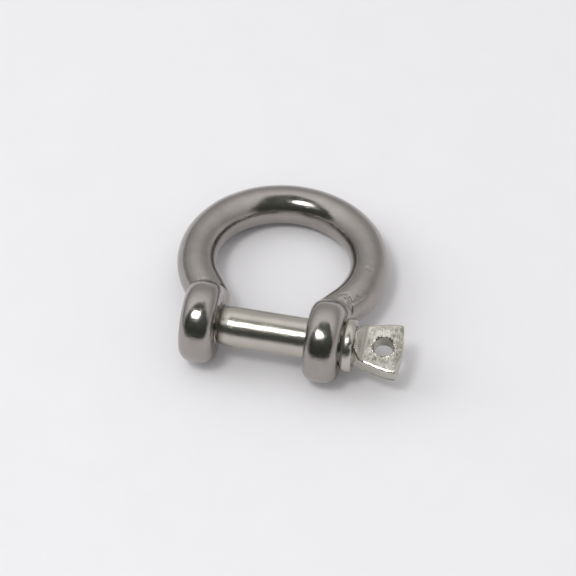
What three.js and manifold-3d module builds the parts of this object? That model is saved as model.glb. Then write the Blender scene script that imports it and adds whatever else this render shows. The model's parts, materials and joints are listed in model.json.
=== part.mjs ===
// Bow shackle with a screw pin: a forged bow with two round ears, a pin that screws into
// one ear, and a collar ring that sits on the pin under its flattened, holed tab.
// Millimetres. The shackle lies on its side on z = 0: the pin runs along X with its tab
// towards +X, the crown of the bow points to +Y, and +Z is up.
import * as THREE from "three";
import { mergeVertices } from "three/addons/utils/BufferGeometryUtils.js";
import Module from "manifold-3d";

const wasm = await Module();
wasm.setup();

// Driving dimensions. The bow's own frame has the pin axis on X and its plane on z = 0.
const BAR_RADIUS = 4;
const BOW_RADIUS = 17.6; // of the bar's centre line round the crown
const BOW_CENTRE_Y = 20.3; // from the pin axis to the middle of that round
const BOW_SWEEP = 122; // degrees from the crown down to where each leg turns into its ear
const JAW_WIDTH = 18; // clear space between the two ears
const EAR_THICKNESS = 6.8;
const EAR_RADIUS = 8.25;
const EAR_CORNER = 2.6; // radius that rolls the ear's rim into its faces
const EAR_CROWN = 0.2; // how far the middle of the rim stands proud of its corners
const PLAIN_HOLE_RADIUS = 4.3;
const MOUTH_DEPTH = 0.8; // chamfer at each end of the tapped hole
const MOUTH_LIFT = 0.5; // how far its cutter stands out of the face

const PIN_RADIUS = 4;
const THREAD_PITCH = 1.25;
const THREAD_CREST = 3.92;
const THREAD_ROOT = 3.2;
const THREAD_CREST_HALF = 0.1; // half the width of the thread's crest, along the pin
const FLANK_SLOPE = Math.tan(Math.PI / 6);
const TOOTH_BASE = 0.05; // how far a tooth is rooted below the round that carries it
const RADIAL_PLAY = 0.22; // between the pin's thread and the ear's
const FLANK_PLAY = 0.12;
const TAPER_LENGTH = 2.2; // run-out from the plain shank down to the thread
const TIP_RECESS = 0.3; // the pin stops this far short of the ear's outer face

const COLLAR_GAP = 0.3; // between the ear and the collar
const COLLAR_THICKNESS = 2.25;
const COLLAR_RADIUS = 5.4;
const COLLAR_ROUND = 1.45; // length of its rounded-over part towards the ear
const COLLAR_DROP = 0.9; // how far that part drops from the rim
const NECK_RADIUS = 3.8;
const NECK_SHOWING = 0.25; // round neck left bare between the collar and the pressed tab
const BORE_PLAY = 0.15; // between the neck and the collar's bore
const ROUND_STEPS = 6; // facets of a rounded-over corner

const TAB_END = 12.1; // from the ear's outer face to the end of the tab
const TAB_THICKNESS = 3.8;
const TAB_HALF_WIDTH = 5.2;
const TAB_HOLE_RADIUS = 1.95;
const TAB_HOLE_BACK = 3.75; // from the tab's end to the middle of its hole
const TAB_TURN = 13; // degrees that the tab's flat is turned up from level
const TAB_END_BULGE = 0.6; // how far the middle of its end stands past its corners
const TAB_WIDENS_OVER = 7; // length over which the neck widens to the full tab
const STEP_LENGTH = 2.4; // from the round neck down to the pressed flat
const CUTTER_REACH = 20; // length of a cutter that passes right through

// Radius of the flared stub that the tab is pressed from, by distance past the neck.
const STUB_FLARE = [[-0.1, NECK_RADIUS], [1.2, 4.3], [2.6, 6], [TAB_END, 8]];

const THREAD_CHAMFER = 0.9; // at the pin's tip, along the pin
const THREAD_RELIEF = 0.1; // the groove between thread and shank is this much below the root
const RELIEF_END = 0.2; // where that groove ends, past the ear's inner face
const RELIEF_START = 0.7; // where it starts, inside the ear

const EAR_FACE = JAW_WIDTH / 2;
const EAR_OUTER = EAR_FACE + EAR_THICKNESS;
const EAR_MIDDLE = EAR_FACE + EAR_THICKNESS / 2;
const LEG_END_X = EAR_MIDDLE - 0.2; // where each leg ends, rounded off inside its ear
const LEG_END_Y = EAR_RADIUS - 1.4;
const COLLAR_START = EAR_OUTER + COLLAR_GAP;
const COLLAR_END = COLLAR_START + COLLAR_THICKNESS;
const CROWN_Y = BOW_CENTRE_Y + BOW_RADIUS;
// The ears' rims and the underside of the crown rest on one surface, so the bow leans.
const LEAN = Math.asin((EAR_RADIUS - BAR_RADIUS) / CROWN_Y);

const BAR_SIDES = 20;
const BAR_STEPS = 60;
const ROUND_SIDES = 40;
const THREAD_SIDES = 20;

// A closed three.js geometry as a solid that can be joined and cut.
function solid(geometry) {
  const shape = geometry.clone();
  shape.deleteAttribute("normal");
  shape.deleteAttribute("uv");
  const merged = mergeVertices(shape, 1e-4);
  return new wasm.Manifold(
    new wasm.Mesh({
      numProp: 3,
      vertProperties: new Float32Array(merged.attributes.position.array),
      triVerts: new Uint32Array(merged.index.array),
    }),
  );
}

function geometryOf(made) {
  const mesh = made.getMesh();
  const geometry = new THREE.BufferGeometry();
  geometry.setAttribute("position", new THREE.BufferAttribute(mesh.vertProperties, 3));
  geometry.setIndex(new THREE.BufferAttribute(mesh.triVerts, 1));
  geometry.computeVertexNormals();
  return geometry;
}

// A profile of [x along the pin, radius] points, in order of rising x, turned round the X axis.
function turned(profile, sides = ROUND_SIDES) {
  const points = profile.map(([x, radius]) => new THREE.Vector2(radius, x));
  return solid(new THREE.LatheGeometry(points, sides).rotateZ(-Math.PI / 2));
}

function rod(from, to, radius, sides) {
  return turned([[from, 0], [from, radius], [to, radius], [to, 0]], sides);
}

// Points of a quarter round, from angle `start` to `end` in degrees.
function roundCorner(x, radius, corner, start, end, steps = ROUND_STEPS) {
  return Array.from({ length: steps + 1 }, (_, i) => {
    const angle = THREE.MathUtils.degToRad(start + ((end - start) * i) / steps);
    return [x + corner * Math.cos(angle), radius + corner * Math.sin(angle)];
  });
}

// A helix round the X axis whose frames stay radial, so a tooth swept along it doesn't twist.
class ThreadPath extends THREE.Curve {
  constructor(start, turns, radius) {
    super();
    Object.assign(this, { start, turns, radius });
  }
  angle(t) {
    return (2 * Math.PI * (this.start + t * this.turns * THREAD_PITCH)) / THREAD_PITCH;
  }
  getPoint(t, target = new THREE.Vector3()) {
    const angle = this.angle(t);
    const x = this.start + t * this.turns * THREAD_PITCH;
    return target.set(x, this.radius * Math.cos(angle), this.radius * Math.sin(angle));
  }
  computeFrenetFrames(steps) {
    const frames = { tangents: [], normals: [], binormals: [] };
    for (let i = 0; i <= steps; i++) {
      const angle = this.angle(i / steps);
      frames.tangents.push(new THREE.Vector3(0, -Math.sin(angle), Math.cos(angle)));
      frames.normals.push(new THREE.Vector3(0, Math.cos(angle), Math.sin(angle)));
      frames.binormals.push(new THREE.Vector3(-1, 0, 0));
    }
    return frames;
  }
}

// One thread's tooth, swept from x = start; play widens and heightens it for the tapped hole.
function threadTooth(start, turns, root, crest, flankPlay) {
  const halfAt = (radius) => THREAD_CREST_HALF + flankPlay + (THREAD_CREST - radius) * FLANK_SLOPE;
  const tooth = new THREE.Shape([
    new THREE.Vector2(0, -halfAt(root)),
    new THREE.Vector2(crest - root, -Math.max(halfAt(crest), 0.05)),
    new THREE.Vector2(crest - root, Math.max(halfAt(crest), 0.05)),
    new THREE.Vector2(0, halfAt(root)),
  ]);
  const extrudePath = new ThreadPath(start, turns, root);
  const steps = turns * THREAD_SIDES;
  return solid(new THREE.ExtrudeGeometry(tooth, { extrudePath, steps, bevelEnabled: false }));
}

// The ear as a thick disc with a rolled rim.
function ear(side) {
  const half = EAR_THICKNESS / 2;
  const centre = EAR_RADIUS - EAR_CROWN - EAR_CORNER;
  const flat = half - EAR_CORNER;
  const profile = [
    [-half, 0],
    ...roundCorner(-flat, centre, EAR_CORNER, 180, 90),
    [0, EAR_RADIUS],
    ...roundCorner(flat, centre, EAR_CORNER, 90, 0),
    [half, 0],
  ];
  return turned(profile).translate([side * EAR_MIDDLE, 0, 0]);
}

// The bar's centre line: round the crown, then each leg runs straight into its ear.
function bowLine() {
  const points = [];
  const stops = 24;
  for (let i = -stops; i <= stops; i++) {
    const angle = THREE.MathUtils.degToRad((BOW_SWEEP * i) / stops);
    const x = BOW_RADIUS * Math.sin(angle);
    points.push(new THREE.Vector3(x, BOW_CENTRE_Y + BOW_RADIUS * Math.cos(angle), 0));
  }
  points.unshift(new THREE.Vector3(-LEG_END_X, LEG_END_Y, 0));
  points.push(new THREE.Vector3(LEG_END_X, LEG_END_Y, 0));
  return new THREE.CatmullRomCurve3(points, false, "centripetal");
}

// The chamfer where the tapped hole opens at x = face, widening towards +X.
function mouth(face) {
  const small = THREAD_ROOT + RADIAL_PLAY;
  const wide = small + MOUTH_DEPTH + MOUTH_LIFT;
  return turned([
    [face - MOUTH_DEPTH, 0],
    [face - MOUTH_DEPTH, small],
    [face + MOUTH_LIFT, wide],
    [face + MOUTH_LIFT, 0],
  ]);
}

function makeBow() {
  const section = new THREE.Shape().absarc(0, 0, BAR_RADIUS, 0, 2 * Math.PI, false);
  const extrudePath = bowLine();
  const bar = new THREE.ExtrudeGeometry(section, {
    extrudePath,
    steps: BAR_STEPS,
    curveSegments: BAR_SIDES / 2,
    bevelEnabled: false,
  });
  const ball = new THREE.SphereGeometry(BAR_RADIUS, BAR_SIDES, BAR_SIDES / 2);
  const legEnd = (side) => solid(ball).translate([side * LEG_END_X, LEG_END_Y, 0]);
  const plainHole = rod(EAR_FACE - 1, EAR_OUTER + 1, PLAIN_HOLE_RADIUS, ROUND_SIDES);
  const whole = Math.round(EAR_OUTER / THREAD_PITCH + 1.5) * -THREAD_PITCH;
  const turns = Math.round(EAR_THICKNESS / THREAD_PITCH) + 3;
  const minor = THREAD_ROOT + RADIAL_PLAY;
  const tap = rod(-EAR_OUTER - 1, -EAR_FACE + 1, minor, ROUND_SIDES)
    .add(threadTooth(whole, turns, minor - TOOTH_BASE, THREAD_CREST + RADIAL_PLAY, FLANK_PLAY))
    .add(mouth(-EAR_FACE))
    .add(mouth(-EAR_OUTER).mirror([1, 0, 0]).translate([-2 * EAR_OUTER, 0, 0]));
  return solid(bar)
    .add(legEnd(-1))
    .add(legEnd(1))
    .add(ear(-1))
    .add(ear(1))
    .subtract(plainHole)
    .subtract(tap);
}

function makeCollar() {
  const bore = NECK_RADIUS + BORE_PLAY;
  const roundedOver = Array.from({ length: ROUND_STEPS + 1 }, (_, i) => {
    const angle = (Math.PI / 2) * (i / ROUND_STEPS);
    const x = COLLAR_START + COLLAR_ROUND * (1 - Math.cos(angle));
    return [x, COLLAR_RADIUS - COLLAR_DROP * (1 - Math.sin(angle))];
  });
  const start = [COLLAR_START, bore];
  return turned([start, ...roundedOver, [COLLAR_END, COLLAR_RADIUS], [COLLAR_END, bore], start]);
}

// The plate seen from above, with its hole.
function tabPlan(start, end) {
  const corner = end - TAB_END_BULGE;
  const root = NECK_RADIUS + 0.05;
  const neckPull = start + TAB_WIDENS_OVER * 0.4;
  const widePull = start + TAB_WIDENS_OVER * 0.6;
  const wideAt = start + TAB_WIDENS_OVER;
  const plan = new THREE.Shape();
  plan.moveTo(start, -root);
  plan.bezierCurveTo(neckPull, -root, widePull, -TAB_HALF_WIDTH, wideAt, -TAB_HALF_WIDTH);
  plan.lineTo(corner, -TAB_HALF_WIDTH);
  plan.quadraticCurveTo(end + TAB_END_BULGE, 0, corner, TAB_HALF_WIDTH);
  plan.lineTo(wideAt, TAB_HALF_WIDTH);
  plan.bezierCurveTo(widePull, TAB_HALF_WIDTH, neckPull, root, start, root);
  const holeX = end - TAB_HOLE_BACK;
  plan.holes.push(new THREE.Path().absarc(holeX, 0, TAB_HOLE_RADIUS, 0, 2 * Math.PI, true));
  return plan;
}

// The gap between the two dies seen from the side: full round at the neck, then the flat.
function dieGap(start, end) {
  const half = TAB_THICKNESS / 2;
  const open = NECK_RADIUS + 0.2;
  const flatAt = start + STEP_LENGTH;
  const pull = start + STEP_LENGTH * 0.2;
  const gap = new THREE.Shape();
  gap.moveTo(start - 1, -open);
  gap.lineTo(start, -open);
  gap.quadraticCurveTo(pull, -half, flatAt, -half);
  gap.lineTo(end + 1, -half);
  gap.lineTo(end + 1, half);
  gap.lineTo(flatAt, half);
  gap.quadraticCurveTo(pull, half, start, open);
  gap.lineTo(start - 1, open);
  return gap;
}

// A closed plane shape pulled to a depth, with its middle on the shape's own plane.
function slab(shape, depth) {
  const geometry = new THREE.ExtrudeGeometry(shape, { depth, curveSegments: 12, bevelEnabled: false });
  return geometry.translate(0, 0, -depth / 2);
}

// The tab: the round neck flared to a plate and pressed thin between two curved faces.
function makeTab() {
  const end = EAR_OUTER + TAB_END;
  const start = COLLAR_END + NECK_SHOWING;
  const plate = solid(slab(tabPlan(start - 0.1, end), 2 * NECK_RADIUS));
  const press = solid(slab(dieGap(start, end), CUTTER_REACH).rotateX(Math.PI / 2));
  const flare = STUB_FLARE.map(([past, radius]) => [start + past, radius]);
  const first = [start - 0.1, 0];
  const last = [start + TAB_END, 0];
  return plate.intersect(press).intersect(turned([first, ...flare, last]));
}

function makePin() {
  const tip = -EAR_OUTER + TIP_RECESS;
  const reliefEnd = -EAR_FACE + RELIEF_END;
  const relief = THREAD_ROOT - THREAD_RELIEF;
  const shankStart = reliefEnd + TAPER_LENGTH;
  const threadLength = EAR_THICKNESS - TIP_RECESS;
  const start = Math.round(EAR_OUTER / THREAD_PITCH + 1) * -THREAD_PITCH;
  const turns = Math.round(threadLength / THREAD_PITCH) + 1;
  const envelope = turned([
    [tip, 0],
    [tip, THREAD_ROOT - RELIEF_END],
    [tip + THREAD_CHAMFER, THREAD_CREST],
    [-EAR_FACE - RELIEF_START, THREAD_CREST],
    [reliefEnd, relief],
    [reliefEnd, 0],
  ]);
  const thread = rod(tip - 1, reliefEnd, THREAD_ROOT, ROUND_SIDES)
    .add(threadTooth(start, turns, THREAD_ROOT - TOOTH_BASE, THREAD_CREST, 0))
    .intersect(envelope);
  const shank = turned([
    [-EAR_FACE, 0],
    [-EAR_FACE, relief],
    [reliefEnd, THREAD_ROOT + THREAD_RELIEF],
    [shankStart, PIN_RADIUS],
    [COLLAR_START, PIN_RADIUS],
    [COLLAR_START, NECK_RADIUS],
    [COLLAR_END + NECK_SHOWING, NECK_RADIUS],
    [COLLAR_END + NECK_SHOWING, 0],
  ]);
  return thread.add(shank).add(makeTab().rotate([TAB_TURN, 0, 0]));
}

const steel = (color, roughness) => new THREE.MeshStandardMaterial({ color, roughness, metalness: 1 });

function part(name, made, material) {
  const mesh = new THREE.Mesh(geometryOf(made), material);
  mesh.name = name;
  return mesh;
}

const shackle = new THREE.Group();
const bow = part("bow", makeBow(), steel(0x9a958f, 0.12));
bow.rotation.x = -LEAN;
shackle.add(bow);
shackle.add(part("collar", makeCollar(), steel(0xb4b0a6, 0.22)));
shackle.add(part("pin", makePin(), steel(0xaaa69d, 0.18)));

// Origin: the middle of the shackle's footprint, on the surface that it lies on.
const bowSide = BOW_RADIUS + BAR_RADIUS;
const endX = EAR_OUTER + TAB_END;
const farY = CROWN_Y * Math.cos(LEAN) + BAR_RADIUS;
shackle.position.set((bowSide - endX) / 2, (EAR_RADIUS - farY) / 2, EAR_RADIUS);

const lyingOnItsSide = new THREE.Group();
lyingOnItsSide.add(shackle);

export default lyingOnItsSide;
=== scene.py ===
# %% [markdown]
# # Bow shackle in polished stainless steel
#
# A shackle is a U of round bar closed by a pin. This one is a bow shackle: its bar swells into
# a loop, and its two ends are forged into round ears. The pin slides through the plain ear,
# screws into the tapped one, and ends in a flat tab with a hole for a spike or a wire.
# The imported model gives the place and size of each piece. This lesson rebuilds the three pieces
# with the detail that a forging, a turned pin and a pressed tab really show.

import json
import math

import bmesh
import bpy
import numpy as np
from mathutils import Matrix, Vector


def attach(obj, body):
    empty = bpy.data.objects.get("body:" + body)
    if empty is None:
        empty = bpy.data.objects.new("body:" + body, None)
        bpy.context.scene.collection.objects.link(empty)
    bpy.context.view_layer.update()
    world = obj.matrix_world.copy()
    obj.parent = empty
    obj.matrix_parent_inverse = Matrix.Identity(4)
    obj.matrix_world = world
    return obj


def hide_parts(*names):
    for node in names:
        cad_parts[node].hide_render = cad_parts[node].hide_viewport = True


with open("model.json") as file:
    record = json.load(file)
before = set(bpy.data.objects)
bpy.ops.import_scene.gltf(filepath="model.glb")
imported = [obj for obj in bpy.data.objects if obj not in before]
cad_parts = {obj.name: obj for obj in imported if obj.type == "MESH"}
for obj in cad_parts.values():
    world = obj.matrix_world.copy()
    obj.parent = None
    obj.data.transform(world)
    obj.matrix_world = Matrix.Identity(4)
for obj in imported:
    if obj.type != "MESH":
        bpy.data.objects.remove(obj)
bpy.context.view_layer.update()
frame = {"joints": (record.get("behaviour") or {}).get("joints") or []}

# %% [markdown]
# ## Where things are
#
# Most of the work is easiest in millimetres with the pin's axis on X and the pin's middle at
# zero, as a maker would draw it. The bow leans a little in that drawing, because it lies on its
# thick ears and its thin crown. The pin's joint gives the middle, and the boxes give the rest.

# %% The drawing's zero, and the lean of the bow
MM = 0.001
turn_joint = next(j for j in frame["joints"] if j["name"] == "pin_turn")
MIDDLE = Vector(turn_joint["pos_m"])
BAR = 4.0  # radius of the round bar, and of the pin's shank
EAR = 8.25  # radius of an ear
EAR_THICK = 6.8
JAW = 18.0  # clear width between the ears
BEND = 17.6  # radius of the bar's centre line round the crown
BEND_Y = 20.3  # from the pin's axis to the middle of that round
SWEEP = math.radians(122)  # from the crown down to the straight part of each leg
EAR_X = JAW / 2 + EAR_THICK / 2
LEAN = math.asin((EAR - BAR) / (BEND_Y + BEND))
print("pin's middle", [round(c / MM, 3) for c in MIDDLE], "mm, lean", round(math.degrees(LEAN), 2))

# %% [markdown]
# ## Camera
#
# A long lens looks down at the lying shackle from in front of the pin. It comes first, so that
# every piece can be judged through it while the work goes on.

# %% Camera
FROM_FRONT = math.radians(11.0)  # how far the camera stands to the right of straight ahead
ABOVE = math.radians(50.5)
ROLL = math.radians(0.5)
STAND_OFF = 0.470  # assumed: the outline looks much the same from half or twice as far
LENS = 148.7
level = Vector((math.cos(FROM_FRONT), math.sin(FROM_FRONT), 0))
ahead = Vector((-math.sin(FROM_FRONT), math.cos(FROM_FRONT), 0))
steep = ahead * math.sin(ABOVE) + Vector((0, 0, math.cos(ABOVE)))
toward = -ahead * math.cos(ABOVE) + Vector((0, 0, math.sin(ABOVE)))
right = level * math.cos(ROLL) + steep * math.sin(ROLL)
up = steep * math.cos(ROLL) - level * math.sin(ROLL)
lens = bpy.data.cameras.new("camera")
lens.lens = LENS
lens.clip_start = 0.01
camera = bpy.data.objects.new("camera", lens)
aim = MIDDLE + right * 0.0049 + up * 0.00856
camera.matrix_world = Matrix.Translation(aim + toward * STAND_OFF) @ Matrix(
    (
        (right.x, up.x, toward.x, 0),
        (right.y, up.y, toward.y, 0),
        (right.z, up.z, toward.z, 0),
        (0, 0, 0, 1),
    )
)
bpy.context.scene.collection.objects.link(camera)
bpy.context.scene.camera = camera

# %% [markdown]
# ## A skin over a solid
#
# A forging has no sharp joins: the bar melts into the ears. Such a body is easiest to describe
# as a field, a function that is negative inside the steel and positive outside, because fields
# can be blended. The skin is then found in two steps. A coarse net of four-sided faces is hung
# between the grid points that are inside and those that are outside, and each of its points is
# pulled along the field's slope until it lies exactly on the surface. The result is as smooth
# as the formula, which matters on polished steel, where every ripple shows in the reflections.


# %% The net of faces round a field
def slope(field, points, step=0.01):
    """The field's gradient at each point, by small steps to each side."""
    moves = np.eye(3) * step
    return np.stack([field(points + m) - field(points - m) for m in moves], axis=1) / (2 * step)


def onto_surface(field, points, times=4):
    """Points pulled along the slope until the field is zero."""
    for _ in range(times):
        gradient = slope(field, points)
        length = np.maximum((gradient**2).sum(axis=1), 1e-6)
        points = points - gradient * (field(points) / length)[:, None]
    return points


def net(field, low, high, cell):
    """Points and four-sided faces that wrap the space where the field is negative."""
    axes = [np.arange(a, b + cell, cell) for a, b in zip(low, high)]
    grid = np.stack(np.meshgrid(*axes, indexing="ij"), axis=-1)
    shape = grid.shape[:3]
    inside = (field(grid.reshape(-1, 3)) < 0).reshape(shape)
    number = -np.ones(shape, int)
    corners = [(i, j, k) for i in (0, 1) for j in (0, 1) for k in (0, 1)]
    n = [s - 1 for s in shape]
    count = sum(inside[i : n[0] + i, j : n[1] + j, k : n[2] + k].astype(int) for i, j, k in corners)
    cells = np.argwhere((count > 0) & (count < len(corners)))
    number[tuple(cells.T)] = np.arange(len(cells))
    points = np.array([a[0] for a in axes]) + (cells + 0.5) * cell
    faces = []
    for axis in range(3):
        b, c = (axis + 1) % 3, (axis + 2) % 3
        here = np.argwhere(np.diff(inside.astype(int), axis=axis) != 0)
        here = here[(here[:, b] > 0) & (here[:, c] > 0)]
        leaving = inside[tuple(here.T)]
        ring = []
        for db, dc in ((1, 1), (0, 1), (0, 0), (1, 0)):
            at = here.copy()
            at[:, b] -= db
            at[:, c] -= dc
            ring.append(number[tuple(at.T)])
        quads = np.stack(ring, axis=1)
        quads[~leaving] = quads[~leaving][:, ::-1]
        faces.append(quads)
    return points, np.concatenate(faces)


# %% [markdown]
# Even faces shade better than bunched ones, so the net is also relaxed: each point moves
# towards the middle of its neighbours, and is pulled back onto the surface.


# %% Relax the net
def relaxed(field, points, faces, rounds):
    a = np.concatenate([faces[:, i] for i in range(4)])
    b = np.concatenate([faces[:, (i + 1) % 4] for i in range(4)])
    share = np.bincount(a, minlength=len(points)).astype(float)
    points = onto_surface(field, points)
    for _ in range(rounds):
        middle = np.stack(
            [np.bincount(a, weights=points[b, i], minlength=len(points)) for i in range(3)], axis=1
        )
        points = points + 0.5 * (middle / share[:, None] - points)
        points = onto_surface(field, points, 1)
    return onto_surface(field, points, 2)


def piece(name, points, faces):
    """A Blender object from points in millimetres about the pin's middle."""
    mesh = bpy.data.meshes.new(name)
    mesh.from_pydata((np.asarray(points) * MM + np.array(MIDDLE)).tolist(), [], faces)
    mesh.validate()
    mesh.update()
    made = bpy.data.objects.new(name, mesh)
    bpy.context.scene.collection.objects.link(made)
    return made


def skin(name, field, low, high, cell, rounds=4):
    points, faces = net(field, low, high, cell)
    points = relaxed(field, points, faces, rounds)
    print(name, len(points), "points,", len(faces), "faces")
    return points, faces


# %% [markdown]
# ## Blending and roughening fields
#
# Two fields are joined by keeping the smaller value, and the fillet between them comes from
# rounding that choice off. Forged and tumbled steel is never quite true: the surface swells and
# dips by a hundredth or two of a millimetre over several millimetres, and that is what makes
# its highlights wander. A few plane waves in seeded random directions give such a swell.


# %% Fillets and swell
def joined(a, b, fillet):
    share = np.clip(0.5 + 0.5 * (b - a) / fillet, 0, 1)
    return b + (a - b) * share - fillet * share * (1 - share)


def cut(a, b, fillet):
    """What both fields hold, with the edge between them rounded."""
    return -joined(-a, -b, fillet)


def swell(points, seed, waves, shortest, longest):
    """A soft random height, about 1 high, with waves of those lengths in millimetres."""
    random = np.random.default_rng(seed)
    total = np.zeros(len(points))
    for _ in range(waves):
        way = random.normal(size=3)
        way *= 2 * math.pi / random.uniform(shortest, longest) / np.linalg.norm(way)
        total += np.sin(points @ way + random.uniform(0, 2 * math.pi))
    return total / math.sqrt(waves)


# %% [markdown]
# ## The bow
#
# The bow starts as a straight bar. It is heated, its ends are upset in a die into thick round
# ears, and it is bent round a former. The flash is ground off and the whole thing is tumbled
# and buffed. So the bar keeps its round section, the ears have rolled rims, and small wrinkles
# are left where the leg was squeezed against the ear.


# %% The bar's field
def from_segment(points, start, end):
    """Distance from each point to the straight line between two points."""
    start, end = np.array(start, float), np.array(end, float)
    along = np.clip((points - start) @ (end - start) / ((end - start) ** 2).sum(), 0, 1)
    return np.linalg.norm(points - start - along[:, None] * (end - start), axis=1)


LEG_TOP = (BEND * math.sin(SWEEP), BEND_Y + BEND * math.cos(SWEEP), 0)
LEG_IN = 0.2  # how far the leg's end lies to the jaw's side of the ear's middle
LEG_DROP = 1.4  # how far it lies inside the ear's rim
LEG_END = (EAR_X - LEG_IN, EAR - LEG_DROP, 0)


def bar_field(points):
    mirrored = np.abs(points[:, 0])
    across = np.hypot(mirrored, points[:, 1] - BEND_Y)
    angle = np.arctan2(mirrored, points[:, 1] - BEND_Y)
    round_part = np.hypot(across - BEND, points[:, 2])
    one_side = np.column_stack([mirrored, points[:, 1], points[:, 2]])
    leg = from_segment(one_side, LEG_TOP, LEG_END)
    return np.where(angle < SWEEP, np.minimum(round_part, leg), leg) - BAR


# %% [markdown]
# An ear is a thick disc whose rim was rolled by the die into one continuous curve. A
# superellipse has that section. The two faces are then ground flat, which leaves a crisp
# ring where the flat meets the curve, so the curve is made a little too thick and cut off.

# %% The ears' field
RIM = 3.5  # how far in from the rim the rounding starts
RIM_FULLNESS = 2.75  # 2 is a plain ellipse, and higher is squarer
GROUND_OFF = 0.20  # what grinding takes off each face
GROUND_EDGE = 0.12  # rounding of the edge that grinding leaves


def ear_field(points, side):
    off = np.abs(points[:, 0] - side * EAR_X)
    wide = off / (EAR_THICK / 2 + GROUND_OFF)
    out = np.hypot(points[:, 1], points[:, 2])
    deep = np.maximum(out - (EAR - RIM), 0) / RIM
    rolled = ((wide**RIM_FULLNESS + deep**RIM_FULLNESS) ** (1 / RIM_FULLNESS) - 1) * RIM
    return cut(rolled, off - EAR_THICK / 2, GROUND_EDGE)


# %% [markdown]
# The wrinkles and pits are cut into the field itself, so that they are real hollows in the
# mesh. Each wrinkle is a short groove between two points, and each pit a small round dent.

# %% Forging wrinkles and pits
WRINKLES = [  # start, end, depth, width
    ((10.9, 9.3, 3.8), (12.9, 8.8, 4.0), 0.16, 0.26),
    ((13.6, 8.0, 4.0), (14.4, 8.8, 3.9), 0.30, 0.26),
    ((14.1, 7.6, 4.0), (14.8, 8.6, 3.8), 0.24, 0.22),
    ((16.1, 8.5, 3.2), (16.4, 6.8, 1.9), 0.26, 0.23),
    ((15.2, 9.6, 3.8), (16.1, 8.5, 3.2), 0.16, 0.26),
    ((16.5, 8.8, 3.1), (18.4, 11.5, 2.8), 0.18, 0.26),
    ((13.2, 9.6, 3.8), (14.9, 10.3, 3.9), 0.10, 0.26),
]
PITS = [  # place, depth, width
    ((17.3, 10.5, 3.2), 0.16, 0.50),
    ((14.7, 8.0, 3.7), 0.30, 0.24),
    ((15.5, 8.3, 3.5), 0.30, 0.24),
    ((17.4, 18.3, 4.0), 0.09, 0.24),
    ((18.3, 18.0, 3.9), 0.09, 0.24),
    ((-13.8, 8.0, 4.0), 0.26, 0.24),
    ((-14.8, 7.8, 3.7), 0.22, 0.22),
    ((-10.6, -6.8, 2.6), 0.20, 0.24),
]
EAR_FILLET = 0.7  # where the bar melts into an ear
UNTRUE = 0.010  # height of the forging's slow swell


def bow_field(points):
    steel = bar_field(points)
    for side in (-1, 1):
        steel = joined(steel, ear_field(points, side), EAR_FILLET)
    steel = steel + UNTRUE * swell(points, 11, 14, 4.5, 11)
    for start, end, depth, width in WRINKLES:
        near = from_segment(points, start, end) / width
        steel = steel + depth * np.exp(-near * near)
    for place, depth, width in PITS:
        near = np.linalg.norm(points - np.array(place), axis=1) / width
        steel = steel + depth * np.exp(-near * near)
    return steel


# %% Skin of the bow
BOW_CELL = 0.24
side = BEND + BAR + 1
bow_points, bow_faces = skin(
    "bow",
    bow_field,
    (-side, -EAR - 1, -EAR - 1),
    (side, BEND_Y + BEND + BAR + 1, EAR + 1),
    BOW_CELL,
)
back = Matrix.Rotation(-LEAN, 3, "X")
bow_points = bow_points @ np.array(back).T
bow = piece("forged_bow", bow_points, bow_faces.tolist())

# %% [markdown]
# ## Round pieces with a thread
#
# The pin and the holes are turned, so each is a stack of rings of points round X. A thread is
# a radius that also depends on the angle: the crest moves one pitch along for every turn. The
# same function makes the pin's thread and, a little wider, the one in the ear, so the pin
# really can be unscrewed.

# %% The thread's radius at a place and an angle
PITCH = 1.25
CREST = 3.92
ROOT = 3.2
CREST_HALF = 0.1
FLANK = math.tan(math.pi / 6)
RADIAL_PLAY = 0.22
FLANK_PLAY = 0.12


def thread_radius(x, angle, radial_play=0.0, flank_play=0.0):
    turn = x / PITCH - angle / (2 * math.pi)
    aside = np.abs(turn - np.round(turn)) * PITCH
    radius = CREST - (aside - CREST_HALF - flank_play) / FLANK
    return np.clip(radius, ROOT + radial_play, CREST + radial_play)


def spun(name, places, radius_at, sides=72):
    """A closed body of rings round X. radius_at(x, angle) gives each point's radius."""
    angle = np.arange(sides) * 2 * math.pi / sides
    points = []
    for x in places:
        radius = radius_at(x, angle) * np.ones(sides)
        ring = [np.full(sides, x), radius * np.cos(angle), radius * np.sin(angle)]
        points.append(np.stack(ring, axis=1))
    points = np.concatenate(points + [[[places[0], 0, 0], [places[-1], 0, 0]]])
    faces = []
    for i in range(len(places) - 1):
        for j in range(sides):
            k = (j + 1) % sides
            faces.append([i * sides + j, i * sides + k, (i + 1) * sides + k, (i + 1) * sides + j])
    last = (len(places) - 1) * sides
    start, end = len(places) * sides, len(places) * sides + 1
    for j in range(sides):
        k = (j + 1) % sides
        faces.append([start, k, j])
        faces.append([end, last + j, last + k])
    return piece(name, points, faces)


def boolean(target, other, how):
    """Joins or cuts with another closed mesh, which is used up."""
    step = target.modifiers.new(how.lower(), "BOOLEAN")
    step.operation = how
    step.solver = "MANIFOLD"
    step.object = other
    bpy.context.view_layer.update()
    seen = target.evaluated_get(bpy.context.evaluated_depsgraph_get())
    mesh = bpy.data.meshes.new_from_object(seen)
    target.modifiers.remove(step)
    old = target.data
    target.data = mesh
    bpy.data.meshes.remove(old)
    bpy.data.objects.remove(other)
    if not mesh.polygons:
        raise ValueError(f"{how} left {target.name} with no faces")
    print(target.name, "after", how, len(mesh.polygons), "faces")


# %% [markdown]
# The plain ear's hole is drilled a little larger than the pin and its edges are broken with a
# countersink. The other is tapped, with a wider chamfer where the tap went in. The drill tore
# the steel a little at the mouth that faces the jaw, so that edge is ragged.

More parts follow.
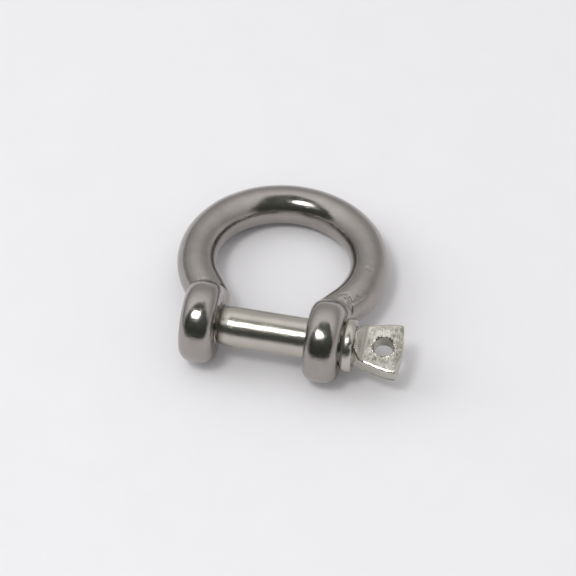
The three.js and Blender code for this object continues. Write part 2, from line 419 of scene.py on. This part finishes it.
# %% Drill the plain ear
FACE = JAW / 2
OUTER = FACE + EAR_THICK
HOLE = 4.3
COUNTERSINK = 0.35
BEYOND = 1.0  # how far a cutter stands out of the steel


def plain_hole(x, angle):
    return HOLE + max(0.0, FACE + COUNTERSINK - x, x - OUTER + COUNTERSINK)


places = [FACE - BEYOND, FACE, FACE + COUNTERSINK, OUTER - COUNTERSINK, OUTER, OUTER + BEYOND]
boolean(bow, spun("drill", places, plain_hole, 96), "DIFFERENCE")

# %% Tap the other ear
MOUTH = 0.8  # depth of the chamfer at each end
TORN = 0.40  # how far the torn edge reaches out


def tapped_hole(x, angle):
    inner = ROOT + RADIAL_PLAY + np.maximum(0.0, x + FACE + MOUTH)
    outer = ROOT + RADIAL_PLAY + np.maximum(0.0, -OUTER + MOUTH - x)
    torn = np.maximum(np.sin(5 * angle + 1) * np.sin(13 * angle) + 0.15, 0)
    inner = inner + TORN * torn * (x > -FACE - MOUTH / 2)
    thread = thread_radius(x, angle, RADIAL_PLAY, FLANK_PLAY)
    return np.maximum(thread, np.maximum(inner, outer))


places = np.arange(-OUTER - 0.7, -FACE + 0.5, 0.07)
boolean(bow, spun("tap", places, tapped_hole), "DIFFERENCE")

# %% [markdown]
# ## The pin's round part
#
# The shank is turned bright and full size. It drops to the thread through a short taper, and
# the thread's own end is chamfered so that it finds the hole.

# %% Turn the shank and cut the thread
TIP = -OUTER + 0.3
TAPER = 2.2
TAPER_END = -FACE + TAPER + 0.2
NECK = 3.8
COLLAR_START = OUTER + 0.3
COLLAR_THICK = 2.25
COLLAR_END = COLLAR_START + COLLAR_THICK
NECK_END = COLLAR_START + 0.9  # hidden in the collar, where the tab's own neck takes over
TURNED_X = [TIP, TIP + 0.9, -FACE - 0.7, -FACE + 0.1, -FACE + 0.35, -FACE + 0.8, TAPER_END]
TURNED_R = [ROOT - 0.2, CREST, CREST, ROOT + 0.15, ROOT + 0.35, ROOT + 0.52, BAR]


def pin_radius(x, angle):
    if x >= COLLAR_START:
        return NECK
    envelope = np.interp(x, TURNED_X, TURNED_R)
    if x > -FACE + 0.2:
        return envelope
    return np.minimum(thread_radius(x, angle), envelope)


places = list(np.arange(TIP, -FACE + 0.2, 0.06)) + [-FACE + 0.22, -FACE + 0.35]
places += list(np.linspace(-FACE + 0.5, TAPER_END - 0.15, 12))
places += [TAPER_END, TAPER_END + 0.15]
places += list(np.linspace(TAPER_END + 0.5, COLLAR_START - 0.05, 40))
places += [COLLAR_START - 0.001, COLLAR_START + 0.001, NECK_END]
pin = spun("screw_pin", places, pin_radius)

# %% [markdown]
# ## The tab
#
# The pin's end was a round stub, flared and then pressed between two dies into a flat tab, and
# a hole was punched through it. The tab is the common part of three shapes: the plate's
# outline, the dies' curved gap, and the flared round stub. Where the dies' faces run out over
# the round stub they leave the curved step at the neck. The steel that was squeezed out
# makes a thin rolled border along each edge, with a shallow groove under it.

# %% The tab's field
TAB_END = OUTER + 12.1
TAB_HALF = 5.2
TAB_THICK = 3.8
TAB_ROOT = COLLAR_END + 0.25
TAB_TURN = math.radians(13)
PUNCH = 1.95
PUNCH_X = TAB_END - 3.75
ROLLED = 0.50  # width of the rolled-over border of the flats
ROLL_OFF = math.radians(17)
LOWER_SHARE = 0.2  # how much of that the lower border has
CHIP_DEPTH = 0.42  # how far chips reach out of the punched hole
CHIP_SKIN = 0.35  # how deep they go below the flat
OPEN_GAP = 3.2  # what the dies' faces stand back where they don't press, each side
PRESS_FROM = -1.2  # the dies come together between these places past the root
PRESS_TO = 2.3
END_SET_BACK = 0.6  # how far the end's corners stand back from its middle
PLATE_CORNER = 0.35
LIP_OUT = 0.25  # the burr round the punched hole
LIP_WIDE = 0.3
LIP_HIGH = 0.14
FLARE = 0.42  # growth of the stub's radius for each millimetre along it
FLARE_MORE = 0.35  # and what is added to that further along
FLARE_LATER = 1.2
GROOVE_DEEP = 0.20
GROOVE_DOWN = 0.36  # from the flat to the middle of the groove under the border
GROOVE_WIDE = 0.15


def ease(value, start, end):
    t = np.clip((value - start) / (end - start), 0, 1)
    return t * t * (3 - 2 * t)


def punch_field(points):
    """The punched hole: ragged where the punch broke through the skin of the steel."""
    x, y, z = points.T
    angle = np.arctan2(y, x - PUNCH_X)
    chips = np.maximum(np.sin(9 * angle + 0.6) * np.sin(14 * angle + 2) + 0.1, 0)
    near_face = ease(np.abs(z), TAB_THICK / 2 - CHIP_SKIN, TAB_THICK / 2)
    return PUNCH + near_face * (0.03 + CHIP_DEPTH * chips) - np.hypot(x - PUNCH_X, y)


def tab_field(points):
    x, y, z = points.T
    half = NECK + 0.05 + (TAB_HALF - NECK) * ease(x, TAB_ROOT, TAB_END - 1.4)
    end = x - TAB_END + END_SET_BACK * (y / TAB_HALF) ** 2
    outline = cut(np.abs(y) - half, end, PLATE_CORNER)
    run = np.maximum(x - TAB_ROOT, 0)
    press = ease(run, PRESS_FROM, PRESS_TO)
    gap = TAB_THICK / 2 + OPEN_GAP * (1 - press)
    lip = np.exp(-(((np.hypot(x - PUNCH_X, y) - PUNCH - LIP_OUT) / LIP_WIDE) ** 2))
    angle = np.arctan2(y, x - PUNCH_X)
    burr = 0.5 + 0.5 * np.sin(8 * angle + 2.0) * np.sin(19 * angle)
    gap = gap + LIP_HIGH * lip * burr + 0.014 * swell(points, 5, 8, 1.6, 4)
    stub = NECK + FLARE * np.maximum(x - TAB_ROOT, 0)
    stub = stub + FLARE_MORE * np.maximum(x - TAB_ROOT - FLARE_LATER, 0)
    edge = np.maximum(np.abs(y) - half, np.hypot(y, gap) - stub)
    rolled = np.where(z > 0, 1.0, LOWER_SHARE) * np.clip(edge + ROLLED, 0, ROLLED)
    gap = gap - math.tan(ROLL_OFF) * rolled
    under_lip = GROOVE_DEEP * np.exp(-(((gap - GROOVE_DOWN - np.abs(z)) / GROOVE_WIDE) ** 2))
    steel = cut(outline + under_lip, np.abs(z) - gap, 0.12)
    steel = cut(steel, np.hypot(y, z) - stub + under_lip, 0.08)
    return np.maximum(cut(steel, punch_field(points), 0.10), COLLAR_START + 0.4 - x)


# %% Skin of the tab, and join it to the pin
TAB_CELL = 0.12
tab_points, tab_faces = skin(
    "tab",
    tab_field,
    (COLLAR_START - 0.2, -TAB_HALF - 0.6, -NECK - 0.6),
    (TAB_END + 0.6, TAB_HALF + 0.6, NECK + 0.6),
    TAB_CELL,
)
tab_points = tab_points @ np.array(Matrix.Rotation(TAB_TURN, 3, "X")).T
boolean(pin, piece("tab", tab_points, tab_faces.tolist()), "UNION")

# %% [markdown]
# Where two skins almost touch, a join can leave faces with no area. They are taken out.


# %% Take out the slivers
def without_slivers(made, shortest=5e-7):
    """Takes out the faces with no area that a join can leave. Keeps the mesh closed."""
    mesh = bmesh.new()
    mesh.from_mesh(made.data)
    bmesh.ops.dissolve_degenerate(mesh, dist=shortest, edges=mesh.edges)
    closed = all(len(edge.link_faces) == 2 for edge in mesh.edges)
    if closed:
        mesh.to_mesh(made.data)
    mesh.free()
    print(made.name, "slivers taken out:", closed, len(made.data.polygons), "faces")


without_slivers(pin)

# %% [markdown]
# ## The collar
#
# The collar is a thick ring on the neck. It keeps the tab off the ear and spreads the pin's
# load. It is rounded well over towards the ear and bevelled towards the tab, and a few small
# nicks were left in that edge when the tab was pressed beside it.

# %% Turn the collar
RING = 5.4
RING_BORE = NECK + 0.15
BARREL = 1.2  # length of the rounded-over part towards the ear
BARREL_DROP = 0.55  # how far it falls
BEVEL = 0.85  # length of the part towards the tab
BEVEL_DROP = 0.20
BEVEL_START = 0.08  # a short, shallow lead into the bevel
BEVEL_START_DROP = 0.008
CORNER = 0.10
NICKS = [  # angle in degrees, width in degrees, depth
    (-42, 5, 0.30),
    (-62, 4, 0.35),
    (131, 5, 0.25),
]


def nick(degrees):
    """How deep the edge towards the tab is dented at an angle from Y."""
    return sum(d * math.exp(-(((degrees - a + 180) % 360 - 180) / w) ** 2) for a, w, d in NICKS)


def collar_ring(sides=288):
    profile = [(COLLAR_START, RING_BORE)]
    for a in range(180, 89, -6):
        x = COLLAR_START + BARREL * (1 + math.cos(math.radians(a)))
        profile.append((x, RING - BARREL_DROP * (1 - math.sin(math.radians(a)))))
    profile.append((COLLAR_END - BEVEL, RING))
    profile.append((COLLAR_END - BEVEL + BEVEL_START, RING - BEVEL_START_DROP))
    profile.append((COLLAR_END - CORNER, RING - BEVEL_DROP))
    profile.append((COLLAR_END, RING - BEVEL_DROP - CORNER))
    profile.append((COLLAR_END, RING_BORE))
    points = []
    faces = []
    for j in range(sides):
        angle = 2 * math.pi * j / sides
        dent = nick(math.degrees(angle))
        for x, radius in profile:
            if COLLAR_END - CORNER <= x and radius > RING - 1:
                x -= dent
                radius -= dent / 2
            points.append((x, radius * math.cos(angle), radius * math.sin(angle)))
    n = len(profile)
    for j in range(sides):
        k = (j + 1) % sides
        for i in range(n):
            m = (i + 1) % n
            faces.append([j * n + i, k * n + i, k * n + m, j * n + m])
    return piece("collar_ring", points, faces)


collar = collar_ring()

# %% [markdown]
# ## Shading
#
# Curved steel is shaded smooth, and only edges sharper than a fixed angle stay crisp.

# %% Smooth shading
CRISP = math.radians(38)
for made in (bow, pin, collar):
    made.data.polygons.foreach_set("use_smooth", np.ones(len(made.data.polygons), bool))
    made.data.set_sharp_from_angle(angle=CRISP)

# %% [markdown]
# ## Materials
#
# One function adds a node, sets what is fixed and links what isn't. Another turns an sRGB hex
# colour, as a paint chart gives it, into the linear numbers that the shaders use.


# %% Helpers for materials
def linear(hex_colour):
    def channel(text):
        value = int(text, 16) / 255
        return value / 12.92 if value <= 0.04045 else ((value + 0.055) / 1.055) ** 2.4

    code = hex_colour.lstrip("#")
    return [channel(code[i : i + 2]) for i in (0, 2, 4)] + [1.0]


def add(tree, kind, inputs=None, **options):
    """A node of that kind. Inputs are constants or other nodes' outputs."""
    made = tree.nodes.new(kind)
    for name, value in options.items():
        setattr(made, name, value)
    for socket, value in (inputs or {}).items():
        if isinstance(value, bpy.types.NodeSocket):
            tree.links.new(value, made.inputs[socket])
        else:
            made.inputs[socket].default_value = value
    return made


def new_material(name):
    material = bpy.data.materials.new(name)
    material.use_nodes = True
    material.node_tree.nodes.clear()
    return material, material.node_tree


def finish_with(tree, inputs):
    shader = add(tree, "ShaderNodeBsdfPrincipled", inputs)
    add(tree, "ShaderNodeOutputMaterial", {"Surface": shader.outputs["BSDF"]})


def per_mm(size):
    """A texture's scale for a pattern of that size, as object coordinates are in metres."""
    return 1 / (size * MM)


# %% [markdown]
# ### Forged stainless steel, tumbled and buffed
#
# Grade 316 steel, forged, then tumbled and buffed. The eye gets a soft mirror: reflections
# are clear but their edges are a little blurred, the tone drifts from place to place where
# the buff pressed harder, and fine hairlines run in all directions.

# %% Bow material
bow_steel, tree = new_material("stainless_steel_forged_buffed")
place = add(tree, "ShaderNodeTexCoord").outputs["Object"]
cloud = add(
    tree,
    "ShaderNodeTexNoise",
    {"Vector": place, "Scale": per_mm(7), "Detail": 5.0, "Roughness": 0.62},
)
tone = add(
    tree,
    "ShaderNodeMix",
    {"Factor": cloud.outputs["Fac"], 6: linear("#8f8a85"), 7: linear("#b3aeaa")},
    data_type="RGBA",
)
smear = add(
    tree,
    "ShaderNodeTexNoise",
    {"Vector": place, "Scale": per_mm(1.1), "Detail": 6.0, "Roughness": 0.75},
)
haze = add(
    tree,
    "ShaderNodeMapRange",
    {"Value": smear.outputs["Fac"], "From Min": 0.35, "From Max": 0.65, "To Min": 0.08, "To Max": 0.24},
)
flat_bow = add(
    tree,
    "ShaderNodeMapping",
    {
        "Vector": place,
        "Location": (-MIDDLE.x, -MIDDLE.y - BEND_Y * MM, -MIDDLE.z + BEND_Y * MM * math.sin(LEAN)),
    },
)
parts = add(tree, "ShaderNodeSeparateXYZ", {"Vector": flat_bow.outputs["Vector"]})
round_bend = add(
    tree, "ShaderNodeMath", {0: parts.outputs["X"], 1: parts.outputs["Y"]}, operation="ARCTAN2"
)
bent_length = add(
    tree, "ShaderNodeMath", {0: round_bend.outputs[0], 1: BEND / 3.0}, operation="MULTIPLY"
)
out_x = add(tree, "ShaderNodeMath", {0: parts.outputs["X"], 1: 2.0}, operation="POWER")
out_y = add(tree, "ShaderNodeMath", {0: parts.outputs["Y"], 1: 2.0}, operation="POWER")
out = add(tree, "ShaderNodeMath", {0: out_x.outputs[0], 1: out_y.outputs[0]}, operation="ADD")
out = add(tree, "ShaderNodeMath", {0: out.outputs[0]}, operation="SQRT")
out = add(tree, "ShaderNodeMath", {0: out.outputs[0], 1: per_mm(0.35)}, operation="MULTIPLY")
high = add(
    tree, "ShaderNodeMath", {0: parts.outputs["Z"], 1: per_mm(0.35)}, operation="MULTIPLY"
)
along_bar = add(
    tree,
    "ShaderNodeCombineXYZ",
    {"X": bent_length.outputs[0], "Y": out.outputs[0], "Z": high.outputs[0]},
)
hair = add(
    tree,
    "ShaderNodeTexNoise",
    {"Vector": along_bar.outputs["Vector"], "Scale": 1.0, "Detail": 4.0, "Roughness": 0.62},
)
relief = add(
    tree,
    "ShaderNodeBump",
    {"Height": hair.outputs["Fac"], "Strength": 0.42, "Distance": 0.00007},
)
finish_with(
    tree,
    {
        "Base Color": tone.outputs[2],
        "Metallic": 1.0,
        "Roughness": haze.outputs["Result"],
        "Normal": relief.outputs["Normal"],
    },
)

# %% [markdown]
# ### Turned stainless steel
#
# The collar and the pin's round part come off a lathe and are buffed. They are a shade lighter
# and warmer than the forging, with very fine streaks along the pin left by the buff.

# %% Turned material
turned_steel, tree = new_material("stainless_steel_turned_bright")
place = add(tree, "ShaderNodeTexCoord").outputs["Object"]
cloud = add(
    tree,
    "ShaderNodeTexNoise",
    {"Vector": place, "Scale": per_mm(5), "Detail": 5.0, "Roughness": 0.6},
)
tone = add(
    tree,
    "ShaderNodeMix",
    {"Factor": cloud.outputs["Fac"], 6: linear("#b3afa5"), 7: linear("#cbc7be")},
    data_type="RGBA",
)
stretch = add(
    tree,
    "ShaderNodeMapping",
    {"Vector": place, "Scale": (per_mm(0.9), per_mm(0.22), per_mm(0.22))},
)
streaks = add(
    tree,
    "ShaderNodeTexNoise",
    {"Vector": stretch.outputs["Vector"], "Scale": 1.0, "Detail": 5.0, "Roughness": 0.7},
)
haze = add(
    tree,
    "ShaderNodeMapRange",
    {"Value": streaks.outputs["Fac"], "From Min": 0.3, "From Max": 0.7, "To Min": 0.13, "To Max": 0.26},
)
relief = add(
    tree,
    "ShaderNodeBump",
    {"Height": streaks.outputs["Fac"], "Strength": 0.60, "Distance": 0.00006},
)
finish_with(
    tree,
    {
        "Base Color": tone.outputs[2],
        "Metallic": 1.0,
        "Roughness": haze.outputs["Result"],
        "Normal": relief.outputs["Normal"],
    },
)

# %% [markdown]
# ### Pressed and brushed stainless steel
#
# The dies leave the tab's faces dull and slightly grained, and they were brushed once along
# the tab. The eye gets a soft, pale sheen with fine lines and small dark specks, and the colour
# is made darker towards the tab's far end.

# %% Pressed material
pressed_steel, tree = new_material("stainless_steel_pressed_brushed")
place = add(tree, "ShaderNodeTexCoord").outputs["Object"]
stretch = add(
    tree,
    "ShaderNodeMapping",
    {
        "Vector": place,
        "Rotation": (0.0, 0.0, math.radians(-12)),
        "Scale": (per_mm(0.22), per_mm(1.1), per_mm(0.6)),
    },
)
grain = add(
    tree,
    "ShaderNodeTexNoise",
    {"Vector": stretch.outputs["Vector"], "Scale": 1.0, "Detail": 4.0, "Roughness": 0.65},
)
specks = add(
    tree,
    "ShaderNodeTexNoise",
    {"Vector": place, "Scale": per_mm(0.5), "Detail": 5.0, "Roughness": 0.7},
)
both = add(
    tree,
    "ShaderNodeMix",
    {"Factor": 0.5, 2: grain.outputs["Fac"], 3: specks.outputs["Fac"]},
)
tone = add(
    tree,
    "ShaderNodeMapRange",
    {"Value": both.outputs[0], "From Min": 0.35, "From Max": 0.62, "To Min": 0.0, "To Max": 1.0},
)
patch = add(
    tree,
    "ShaderNodeTexNoise",
    {"Vector": place, "Scale": per_mm(2.6), "Detail": 3.0, "Roughness": 0.55},
)
patchy = add(
    tree,
    "ShaderNodeMapRange",
    {"Value": patch.outputs["Fac"], "From Min": 0.35, "From Max": 0.65, "To Min": -0.30, "To Max": 0.22},
)
run_out = add(tree, "ShaderNodeSeparateXYZ", {"Vector": place}).outputs["X"]
# The colour is made darker over the last few millimetres towards the tab's far end.
DARKER_END = 2.6  # length of the far end whose colour is made darker
tab_far_end = MIDDLE.x + TAB_END * MM
darker_far_end = add(
    tree,
    "ShaderNodeMapRange",
    {
        "Value": run_out,
        "From Min": tab_far_end - DARKER_END * MM,
        "From Max": tab_far_end,
        "To Min": 0.0,
        "To Max": -0.35,
    },
)
tone = add(
    tree, "ShaderNodeMath", {0: tone.outputs["Result"], 1: patchy.outputs["Result"]}, operation="ADD"
)
tone = add(
    tree,
    "ShaderNodeMath",
    {0: tone.outputs[0], 1: darker_far_end.outputs["Result"]},
    operation="ADD",
    use_clamp=True,
)
colour = add(
    tree,
    "ShaderNodeMix",
    {"Factor": tone.outputs[0], 6: linear("#959287"), 7: linear("#f8f5ec")},
    data_type="RGBA",
)
haze = add(
    tree,
    "ShaderNodeMapRange",
    {"Value": both.outputs[0], "From Min": 0.3, "From Max": 0.7, "To Min": 0.30, "To Max": 0.46},
)
relief = add(
    tree,
    "ShaderNodeBump",
    {"Height": both.outputs[0], "Strength": 0.5, "Distance": 0.00012},
)
finish_with(
    tree,
    {
        "Base Color": colour.outputs[2],
        "Metallic": 1.0,
        "Roughness": haze.outputs["Result"],
        "Normal": relief.outputs["Normal"],
    },
)

# %% [markdown]
# The pin carries two finishes: the pressed one on the tab's two broad faces, and the turned one
# everywhere else. A face belongs to the tab's flats if it lies past the neck and looks along
# the flats' own direction.

# %% Put the finishes on
FACING = 0.97  # cosine of the widest angle to the flats' own direction
for made, material in ((bow, bow_steel), (collar, turned_steel), (pin, turned_steel)):
    made.data.materials.clear()
    made.data.materials.append(material)
pin.data.materials.append(pressed_steel)
flat_way = np.array((0.0, -math.sin(TAB_TURN), math.cos(TAB_TURN)))
many = len(pin.data.polygons)
normals = np.zeros(many * 3)
centres = np.zeros(many * 3)
pin.data.polygons.foreach_get("normal", normals)
pin.data.polygons.foreach_get("center", centres)
facing = np.abs(normals.reshape(-1, 3) @ flat_way)
past_neck = centres.reshape(-1, 3)[:, 0] > MIDDLE.x + (TAB_ROOT + 0.05) * MM
flats = (facing > FACING) & past_neck
pin.data.polygons.foreach_set("material_index", flats.astype(np.int32))
print("flat faces on the tab:", int(flats.sum()))

# %% [markdown]
# ## Floor and light
#
# The floor is plain pale paper. The room round it is pale too, except for the dark space in
# front of and above the shackle where the camera stands, and polished steel shows that
# space as its dark bands. One soft lamp hangs inside it, high and a little to the left, and
# makes the white spots in the middle of the dark ones. Two things here aren't physical. Only
# reflections see the dark space, so the paper is lit as if it weren't there. The window's lamp
# lights only the paper, and doesn't show in the steel.

# %% Floor
FLOOR = 3.0
floor_mesh = bpy.data.meshes.new("paper_floor")
floor_mesh.from_pydata(
    [(-FLOOR, -FLOOR, 0), (FLOOR, -FLOOR, 0), (FLOOR, FLOOR, 0), (-FLOOR, FLOOR, 0)],
    [],
    [(0, 1, 2, 3)],
)
floor = bpy.data.objects.new("paper_floor", floor_mesh)
bpy.context.scene.collection.objects.link(floor)
paper, tree = new_material("matt_white_paper")
place = add(tree, "ShaderNodeTexCoord").outputs["Object"]
cloud = add(
    tree,
    "ShaderNodeTexNoise",
    {"Vector": place, "Scale": per_mm(14), "Detail": 4.0, "Roughness": 0.6},
)
tone = add(
    tree,
    "ShaderNodeMix",
    {"Factor": cloud.outputs["Fac"], 6: linear("#e9e8ea"), 7: linear("#eeedef")},
    data_type="RGBA",
)
finish_with(tree, {"Base Color": tone.outputs[2], "Roughness": 0.85})
floor_mesh.materials.append(paper)

# %% Room
room = bpy.data.worlds.new("pale_room")
bpy.context.scene.world = room
room.use_nodes = True
tree = room.node_tree
tree.nodes.clear()
towards = add(tree, "ShaderNodeTexCoord").outputs["Generated"]
way = add(tree, "ShaderNodeSeparateXYZ", {"Vector": towards})
front = add(tree, "ShaderNodeMath", {0: way.outputs["Y"], 1: -1.0}, operation="MULTIPLY")
climb = add(
    tree, "ShaderNodeMath", {0: way.outputs["Z"], 1: front.outputs[0]}, operation="ARCTAN2"
)


def fade(value, start, end):
    return add(
        tree,
        "ShaderNodeMapRange",
        {"Value": value, "From Min": start, "From Max": end, "To Min": 0.0, "To Max": 1.0},
        interpolation_type="SMOOTHSTEP",
    ).outputs["Result"]


def along(value, middle, half):
    """How far a value lies from a middle, in halves of the zone's size, squared."""
    off = add(tree, "ShaderNodeMath", {0: value, 1: middle}, operation="SUBTRACT")
    part = add(tree, "ShaderNodeMath", {0: off.outputs[0], 1: half}, operation="DIVIDE")
    return add(tree, "ShaderNodeMath", {0: part.outputs[0], 1: 2.0}, operation="POWER").outputs[0]


ZONE_CLIMB = math.radians(52)
ZONE_HALF = math.radians(54)
ZONE_ASIDE = -0.02
tall = along(climb.outputs[0], ZONE_CLIMB, ZONE_HALF)
width = add(
    tree,
    "ShaderNodeMapRange",
    {"Value": climb.outputs[0], "From Min": 0.9, "From Max": 1.9, "To Min": 0.82, "To Max": 0.22},
    interpolation_type="SMOOTHSTEP",
)
wide = along(way.outputs["X"], ZONE_ASIDE, width.outputs["Result"])
tall_too = add(tree, "ShaderNodeMath", {0: tall, 1: 2.0}, operation="POWER")
wide_too = add(tree, "ShaderNodeMath", {0: wide, 1: 2.0}, operation="POWER")
reach = add(
    tree, "ShaderNodeMath", {0: tall_too.outputs[0], 1: wide_too.outputs[0]}, operation="ADD"
)
zone = fade(reach.outputs[0], 1.30, 0.72)
horizon = fade(way.outputs["Z"], 0.45, 0.02)
left_side = fade(way.outputs["X"], 0.0, -0.9)
low_left = add(tree, "ShaderNodeMath", {0: horizon, 1: left_side}, operation="MULTIPLY")
low_left = add(tree, "ShaderNodeMath", {0: low_left.outputs[0], 1: 0.55}, operation="MULTIPLY")
dark = add(tree, "ShaderNodeMath", {0: zone, 1: low_left.outputs[0]}, operation="MAXIMUM")
on_paper = add(tree, "ShaderNodeLightPath").outputs["Is Diffuse Ray"]
mirrored = add(tree, "ShaderNodeMath", {0: 1.0, 1: on_paper}, operation="SUBTRACT")
dark = add(
    tree, "ShaderNodeMath", {0: dark.outputs[0], 1: mirrored.outputs[0]}, operation="MULTIPLY"
)
wall = add(
    tree,
    "ShaderNodeMix",
    {"Factor": fade(way.outputs["X"], 0.8, -0.8), 6: linear("#c9c8c8"), 7: linear("#e2e2e3")},
    data_type="RGBA",
)
shade = add(
    tree,
    "ShaderNodeMix",
    {"Factor": dark.outputs[0], 6: wall.outputs[2], 7: linear("#525652")},
    data_type="RGBA",
)
ceiling = add(
    tree,
    "ShaderNodeMapRange",
    {"Value": way.outputs["Z"], "From Min": 0.45, "From Max": 1.0, "To Min": 0.84, "To Max": 1.85},
)
right_side = fade(way.outputs["X"], 0.25, 0.9)
low_right = add(tree, "ShaderNodeMath", {0: horizon, 1: right_side}, operation="MULTIPLY")
lift = add(tree, "ShaderNodeMath", {0: low_right.outputs[0], 1: 0.5}, operation="MULTIPLY")
lift = add(
    tree, "ShaderNodeMath", {0: lift.outputs[0], 1: ceiling.outputs["Result"]}, operation="ADD"
)
share = add(
    tree,
    "ShaderNodeMapRange",
    {"Value": on_paper, "From Min": 0.0, "From Max": 1.0, "To Min": 1.0, "To Max": 0.79},
)
strength = add(
    tree,
    "ShaderNodeMath",
    {0: lift.outputs[0], 1: share.outputs["Result"]},
    operation="MULTIPLY",
)
glow = add(
    tree,
    "ShaderNodeBackground",
    {"Color": shade.outputs[2], "Strength": strength.outputs[0]},
)
add(tree, "ShaderNodeOutputWorld", {"Surface": glow.outputs["Background"]})


# %% Lamps
def lamp(name, way, distance, size, power):
    light = bpy.data.lights.new(name, "AREA")
    light.shape = "DISK"
    light.size = size
    light.energy = power
    made = bpy.data.objects.new(name, light)
    way = Vector(way).normalized()
    made.location = MIDDLE + way * distance
    made.rotation_euler = way.to_track_quat("Z", "Y").to_euler()
    bpy.context.scene.collection.objects.link(made)
    return made


lamp("soft_lamp", (-0.21, -0.36, 0.91), 1.0, 0.23, 2.4)
window = lamp("window_light", (-0.86, -0.02, 0.50), 1.4, 1.2, 5.5)
window.visible_glossy = False
bpy.context.scene.view_settings.view_transform = "Standard"

# %% [markdown]
# ## The pieces on their bodies
#
# Each piece rides on the body it belongs to, and the imported node that it takes the place of
# is hidden.

# %% Pieces, bodies and slots
for made, body, node_name, slot_name in (
    (bow, "bow", "bow", "polished_bow"),
    (collar, "collar", "collar", "collar_steel"),
    (pin, "pin", "pin", "pin_steel"),
):
    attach(made, body)
    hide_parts(node_name)
    corners = np.array([v.co for v in made.data.vertices])
    size = (corners.max(0) - corners.min(0)) / MM
    print(made.name, "size", size.round(2).tolist(), "mm")
